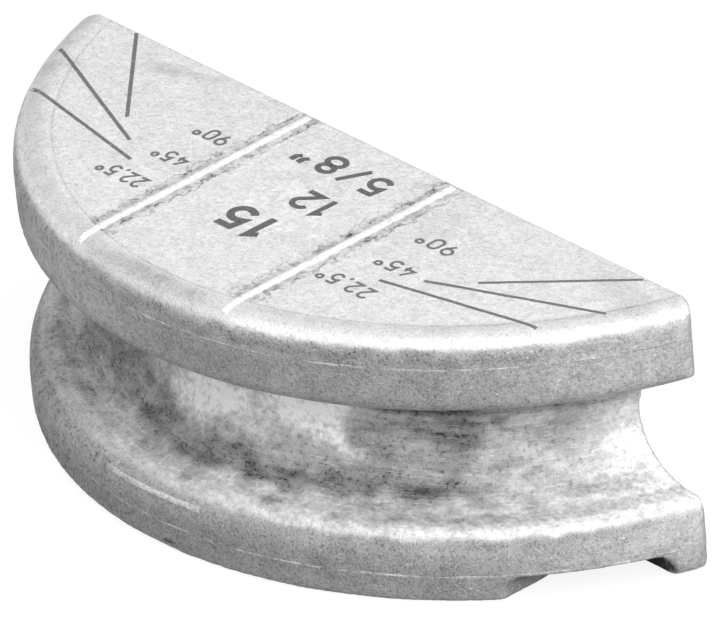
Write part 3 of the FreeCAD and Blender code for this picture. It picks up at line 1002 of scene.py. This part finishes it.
cracks, given, made = block(
    "cracks",
    [("Place", VECTOR, None), ("Off rib", FLOAT, NO_RIB_NEAR)],
    [("Cracks", FLOAT), ("Corner shade", FLOAT)])
bent = cloud(cracks, given["Place"], 0.45, 4.0, 0.7)
bent = times(cracks, sum_node(cracks, "SUBTRACT", bent, 0.5), 6.0)
off_line = apart(cracks, sum_node(cracks, "ADD", given["Off rib"], bent), CRACK_PLACE)
line = slope(cracks, off_line, 0.06, 0.34, 1.0, 0.0, soft=True)
near = slope(cracks, given["Off rib"], 1.6, 4.2, 1.0, 0.0)
broken = slope(cracks, cloud(cracks, given["Place"], 0.5, 3.0, 0.6), 0.36, 0.48)
cracked = times(cracks, times(cracks, line, near), broken)
join(cracks, cracked, made["Cracks"])
# Painted shade where the sides of a rib meet the top face.
corner = apart(cracks, given["Off rib"], CORNER_PLACE)
corner = slope(cracks, corner, 0.20, 1.05, 1.0, 0.0, soft=True)
patchy = slope(cracks, cloud(cracks, given["Place"], 0.8, 5.0, 0.8), 0.40, 0.60, 0.05, 1.0)
join(cracks, times(cracks, corner, patchy), made["Corner shade"])
print("cracks:", len(cracks.nodes), "nodes")

# %% [markdown]
# ## The casting's finish
# Bare cast aluminium is a light, neutral grey metal with a rough skin. Its tone is put together
# in three zones, the top face, the groove and the rims. Then worn edges are made paler, inner
# corners and the crease over the lip get painted shade, and the listed stains with their painted
# light and shade are added. The same masks raise and lower the skin by some hundredths of a
# millimetre, so that the grain catches the light.

# %% Casting material
cast_aluminium, tree, shader = new_material("cast_aluminium")
shader.inputs["Metallic"].default_value = 0.35

place = place_in_mm(tree)
arc_place = point_data(tree, "arc_place", "Vector")
arc_parts = tree.nodes.new("ShaderNodeSeparateXYZ")
join(tree, arc_place, arc_parts.inputs[0])
along_here, _, height_here = arc_parts.outputs
worn_here = point_data(tree, "worn")
# painted shade in inner corners
hollow_shade_here = point_data(tree, "hollow_shade")
# stains together with painted light and shade
stains_and_light_here = point_data(tree, "stains_and_painted_light")
top_here = point_data(tree, "on_top")
groove_here = point_data(tree, "in_groove")

grain = use(tree, sand_grain, Place=place)
dirt_specks = use(tree, specks, Place=place, Per_mm=1.8, Level=0.58)["Specks"]
small_specks = use(tree, specks, Place=place, Per_mm=3.2, Level=0.60)["Specks"]
nicks = use(tree, specks, Place=stretched(tree, place, 1.0, 1.0, 1.6), Per_mm=1.7, Level=0.66)["Specks"]
rubbing = use(tree, streaks, Arc_place=arc_place)
beside_rib = use(tree, cracks, Place=place, Off_rib=point_data(tree, "off_rib"))
cracked_here = beside_rib["Cracks"]
print("nodes so far:", len(tree.nodes))

# %% Tone of the top face, with a faint ring near its edge
RING_REACH = 54.6
RING_MIDDLE = (1.0, AXIS_Y, 0)


def layers(total, *masks):
    """Add masks one after another. Each has its amount and, if it isn't 0, its middle."""
    for mask, amount, *middle in masks:
        part = times(tree, sum_node(tree, "SUBTRACT", mask, *middle), amount)
        total = sum_node(tree, "ADD", total, part)
    return total


from_middle = tree.nodes.new("ShaderNodeVectorMath")
from_middle.operation = "DISTANCE"
join(tree, stretched(tree, place, 1, 1, 0), from_middle.inputs[0])
from_middle.inputs[1].default_value = RING_MIDDLE
off_ring = apart(tree, from_middle.outputs["Value"], RING_REACH)
ring = times(tree, slope(tree, off_ring, 0.08, 0.26, 1.0, 0.0, soft=True), grain["Lumps"])
# The top face's tone, with painted shade beside the ribs.
top_tone = layers(
    0.64, (grain["Fine"], 0.34, 0.5), (grain["Mottle"], 0.10, 0.5), (grain["Lumps"], 0.12, 0.5),
    (small_specks, -0.18), (cracked_here, -0.34), (beside_rib["Corner shade"], -0.34),
    (ring, -0.22))
print("nodes so far:", len(tree.nodes))

# %% Tone of the rims, with more pits on the left and more nicks on the right
pitted = times(tree, dirt_specks, slope(tree, along_here, 12.0, -28.0, 0.1, 1.3))
nicked = times(tree, nicks, slope(tree, along_here, 5.0, 55.0, 0.35, 1.2))
rim_tone = layers(
    0.37, (grain["Fine"], 0.36, 0.5), (grain["Lumps"], 0.10, 0.5), (grain["Mottle"], 0.10, 0.5),
    (small_specks, -0.16), (pitted, -0.16), (nicked, 0.25))
print("nodes so far:", len(tree.nodes))

# %% Tone of the groove, with soot where it isn't rubbed
sooty = slope(tree, stains_and_light_here, -0.4, 0.5, 1.5, 0.35)
groove_tone = layers(
    0.55, (grain["Fine"], 0.18, 0.5), (rubbing["Broad"], 0.26, 0.5),
    (grain["Mottle"], 0.18, 0.5), (grain["Lumps"], 0.20, 0.5),
    (times(tree, dirt_specks, sooty), -0.09), (times(tree, small_specks, sooty), -0.09),
    (rubbing["Scratches"], 0.14), (times(tree, rubbing["Soot lines"], sooty), -0.11))
print("nodes so far:", len(tree.nodes))

# %% Tone of the whole, with stains, painted light, wear, and painted shade in corners and in the crease over the lip


def blend_to(first, second, mask):
    """The first tone where the mask is 0 and the second where it is 1."""
    node = tree.nodes.new("ShaderNodeMix")
    join(tree, mask, node.inputs[0])
    join(tree, first, node.inputs[2])
    join(tree, second, node.inputs[3])
    return node.outputs[0]


# Stains with painted light and shade, broken up by the grain.
grainy_stains_and_light = times(tree, stains_and_light_here, slope(tree, grain["Lumps"], 0.0, 1.0, 0.6, 1.3))
rubbed = times(tree, worn_here, slope(tree, grain["Fine"], 0.1, 0.8, 0.45, 1.0))
# Painted shade along the crease where the groove turns over into the lip.
off_crease = apart(tree, height_here, CREASE_HEIGHT)
crease_shade = slope(tree, off_crease, 0.05, 0.22, 1.0, 0.0, soft=True)
crease_shade = times(tree, crease_shade, slope(tree, along_here, 18.0, 40.0))
crease_shade = times(tree, crease_shade, slope(tree, rubbing["Broad"], 0.25, 0.65))
tone = blend_to(rim_tone, top_tone, top_here)
tone = blend_to(tone, groove_tone, groove_here)
# Stains, painted light, wear, and painted shade in inner corners and the crease.
tone = layers(
    tone, (grainy_stains_and_light, 0.36), (rubbed, 0.20), (hollow_shade_here, -0.07), (crease_shade, -0.20))
METAL_DARK, METAL_PALE = (0.020, 0.021, 0.023), (0.93, 0.93, 0.935)
join(tree, tint(tree, slope(tree, tone, 0.0, 1.0), METAL_DARK, METAL_PALE), shader.inputs["Base Color"])
print("nodes so far:", len(tree.nodes))

# %% Gloss, and the fine relief that catches the light
dull = layers(
    0.60, (grain["Lumps"], 0.10, 0.5), (rubbed, -0.22),
    (sum_node(tree, "MAXIMUM", stains_and_light_here, 0.0), -0.12))
join(tree, dull, shader.inputs["Roughness"])
raised = layers(
    0.0, (grain["Fine"], 1.0), (grain["Lumps"], 1.2), (small_specks, -0.9), (dirt_specks, -0.7),
    (nicks, 0.5), (cracked_here, -1.2))
bump = tree.nodes.new("ShaderNodeBump")
bump.inputs["Strength"].default_value = 0.85
bump.inputs["Distance"].default_value = 0.05 * MM
join(tree, raised, bump.inputs["Height"])
join(tree, bump.outputs["Normal"], shader.inputs["Normal"])

for piece in [casting, *ribs, *seams]:
    piece.data.materials.clear()
    piece.data.materials.append(cast_aluminium)
print("nodes in the casting's finish:", len(tree.nodes))

# %% [markdown]
# ## The printed marks' finish
# The marks are a thin, dull grey that lets some of the grain through, as if burnt or printed
# into the skin. The size is darker than the angles. Both share one recipe, with two tones.

# %% Mark materials


def mark_material(name, dark, pale):
    """A dull grey that is broken up by the sand grain."""
    material, nodes, mark_shader = new_material(name)
    mark_shader.inputs["Roughness"].default_value = 0.75
    spot = place_in_mm(nodes)
    print_grain = use(nodes, sand_grain, Place=spot)
    thin_spots = use(nodes, specks, Place=spot, Per_mm=2.2, Level=0.60)["Specks"]
    share = times(nodes, print_grain["Fine"], 0.55)
    share = sum_node(nodes, "ADD", share, times(nodes, thin_spots, 0.6), clamp=True)
    grey = tint(nodes, share, (dark, dark, dark * 1.02), (pale, pale, pale * 1.02))
    join(nodes, grey, mark_shader.inputs["Base Color"])
    return material


size_grey = mark_material("size_grey", 0.05, 0.15)
angle_grey = mark_material("angle_grey", 0.07, 0.20)
for piece in size_marks:
    piece.data.materials.append(size_grey)
for piece in angle_marks + lines:
    piece.data.materials.append(angle_grey)
print("marks:", len(size_marks), "dark,", len(angle_marks + lines), "grey")

# %% [markdown]
# ## The camera
# The camera stands where the photographer stood. It was fitted to the casting's outline, its
# edges and its marks: half a right angle to the right of the crown, thirty degrees up, leaning
# a little, and far off, so that lines hardly draw together.

# %% Camera
VIEW_AZIMUTH = math.radians(49.961)
VIEW_ELEVATION = math.radians(29.547)
VIEW_ROLL = math.radians(-4.320)
VIEW_DISTANCE = 3.3333
LENS = 1349.58
ACROSS, UPWARD = 18.352, -6.523  # the arc's axis beside the picture's middle, in mm


def place_camera():
    """The camera, looking at the casting from the fitted place."""
    a, e, r = VIEW_AZIMUTH, VIEW_ELEVATION, VIEW_ROLL
    back = Vector((math.sin(a) * math.cos(e), -math.cos(a) * math.cos(e), math.sin(e)))
    level = Vector((math.cos(a), math.sin(a), 0))
    upward = back.cross(level)
    right = math.cos(r) * level + math.sin(r) * upward
    up = -math.sin(r) * level + math.cos(r) * upward
    middle = (Vector((0, AXIS_Y, 0)) - ACROSS * right - UPWARD * up) * MM
    camera = put_in_scene("camera", bpy.data.cameras.new("camera"))
    camera.data.lens = LENS
    camera.data.sensor_width = 36.0
    turn = Matrix((right, up, back)).transposed().to_4x4()
    camera.matrix_world = Matrix.Translation(middle + back * VIEW_DISTANCE) @ turn
    bpy.context.scene.camera = camera
    return camera


camera = place_camera()
print("camera at", [round(value, 3) for value in camera.matrix_world.translation])

# %% [markdown]
# ## Floor
# The casting lies on a plain white floor. The floor's own paleness is helped for the camera
# alone, so that the background is white while the lamps stay soft and low, and the shadow
# still shows.

# %% Floor
FLOOR_TONE = 0.30  # as the light meets it
FLOOR_TONE_SEEN = 0.13  # as the camera sees it
FLOOR_HELP = 0.87  # and the glow that the camera sees with it

floor_bm = bmesh.new()
bmesh.ops.create_grid(floor_bm, x_segments=1, y_segments=1, size=3.0)
floor = put_in_scene("floor", mesh_from(floor_bm, "floor"))

floor_white, tree, paint = new_material("floor_white")
paint.inputs["Roughness"].default_value = 0.9
paint.inputs["Specular IOR Level"].default_value = 0.0
seen = tree.nodes.new("ShaderNodeLightPath").outputs["Is Camera Ray"]
join(tree, slope(tree, seen, 0.0, 1.0, FLOOR_TONE, FLOOR_TONE_SEEN), paint.inputs["Base Color"])
paint.inputs["Emission Color"].default_value = (1, 1, 1, 1)
join(tree, times(tree, seen, FLOOR_HELP), paint.inputs["Emission Strength"])
floor.data.materials.append(floor_white)

# %% [markdown]
# ## Sky and lamps
# Soft light comes from a white sky and four flat lamps. A large one hangs overhead, a little to
# the right and the front, and makes the top face the palest. A strong one at the right lights
# the right ends of the rims and the groove. Weaker ones at the left and the front keep the
# groove from going black.

# %% Sky and lamps
SKY_LIGHT = 0.28  # the camera sees the sky as plain white all the same
MIDDLE = Vector((0, 0, 0.02))  # of the casting, where all lamps point

world = bpy.data.worlds.new("studio")
bpy.context.scene.world = world
world.use_nodes = True
tree = world.node_tree
sky = tree.nodes["Background"]
sky.inputs["Color"].default_value = (1, 1, 1, 1)
seen = tree.nodes.new("ShaderNodeLightPath").outputs["Is Camera Ray"]
join(tree, slope(tree, seen, 0.0, 1.0, SKY_LIGHT, 1.0), sky.inputs["Strength"])


def area_lamp(name, stand, width, depth, watts):
    """A soft, flat lamp that faces the casting."""
    lamp = bpy.data.lights.new(name, "AREA")
    lamp.shape = "RECTANGLE"
    lamp.size, lamp.size_y = width, depth
    lamp.energy = watts
    holder = put_in_scene(name, lamp)
    holder.location = stand
    facing = MIDDLE - Vector(stand)
    holder.rotation_euler = facing.to_track_quat("-Z", "Y").to_euler()
    return holder


lamps = [
    area_lamp("top_lamp", (0.25, -0.10, 0.78), 1.0, 1.0, 8.0),
    area_lamp("right_lamp", (0.72, 0.02, 0.38), 0.5, 0.4, 4.8),
    area_lamp("left_lamp", (-0.55, -0.05, 0.60), 0.6, 0.5, 2.0),
    area_lamp("front_lamp", (0.10, -0.80, 0.22), 0.6, 0.3, 2.3),
]
bpy.context.scene.view_settings.view_transform = "Standard"
print("lamps:", len(lamps))
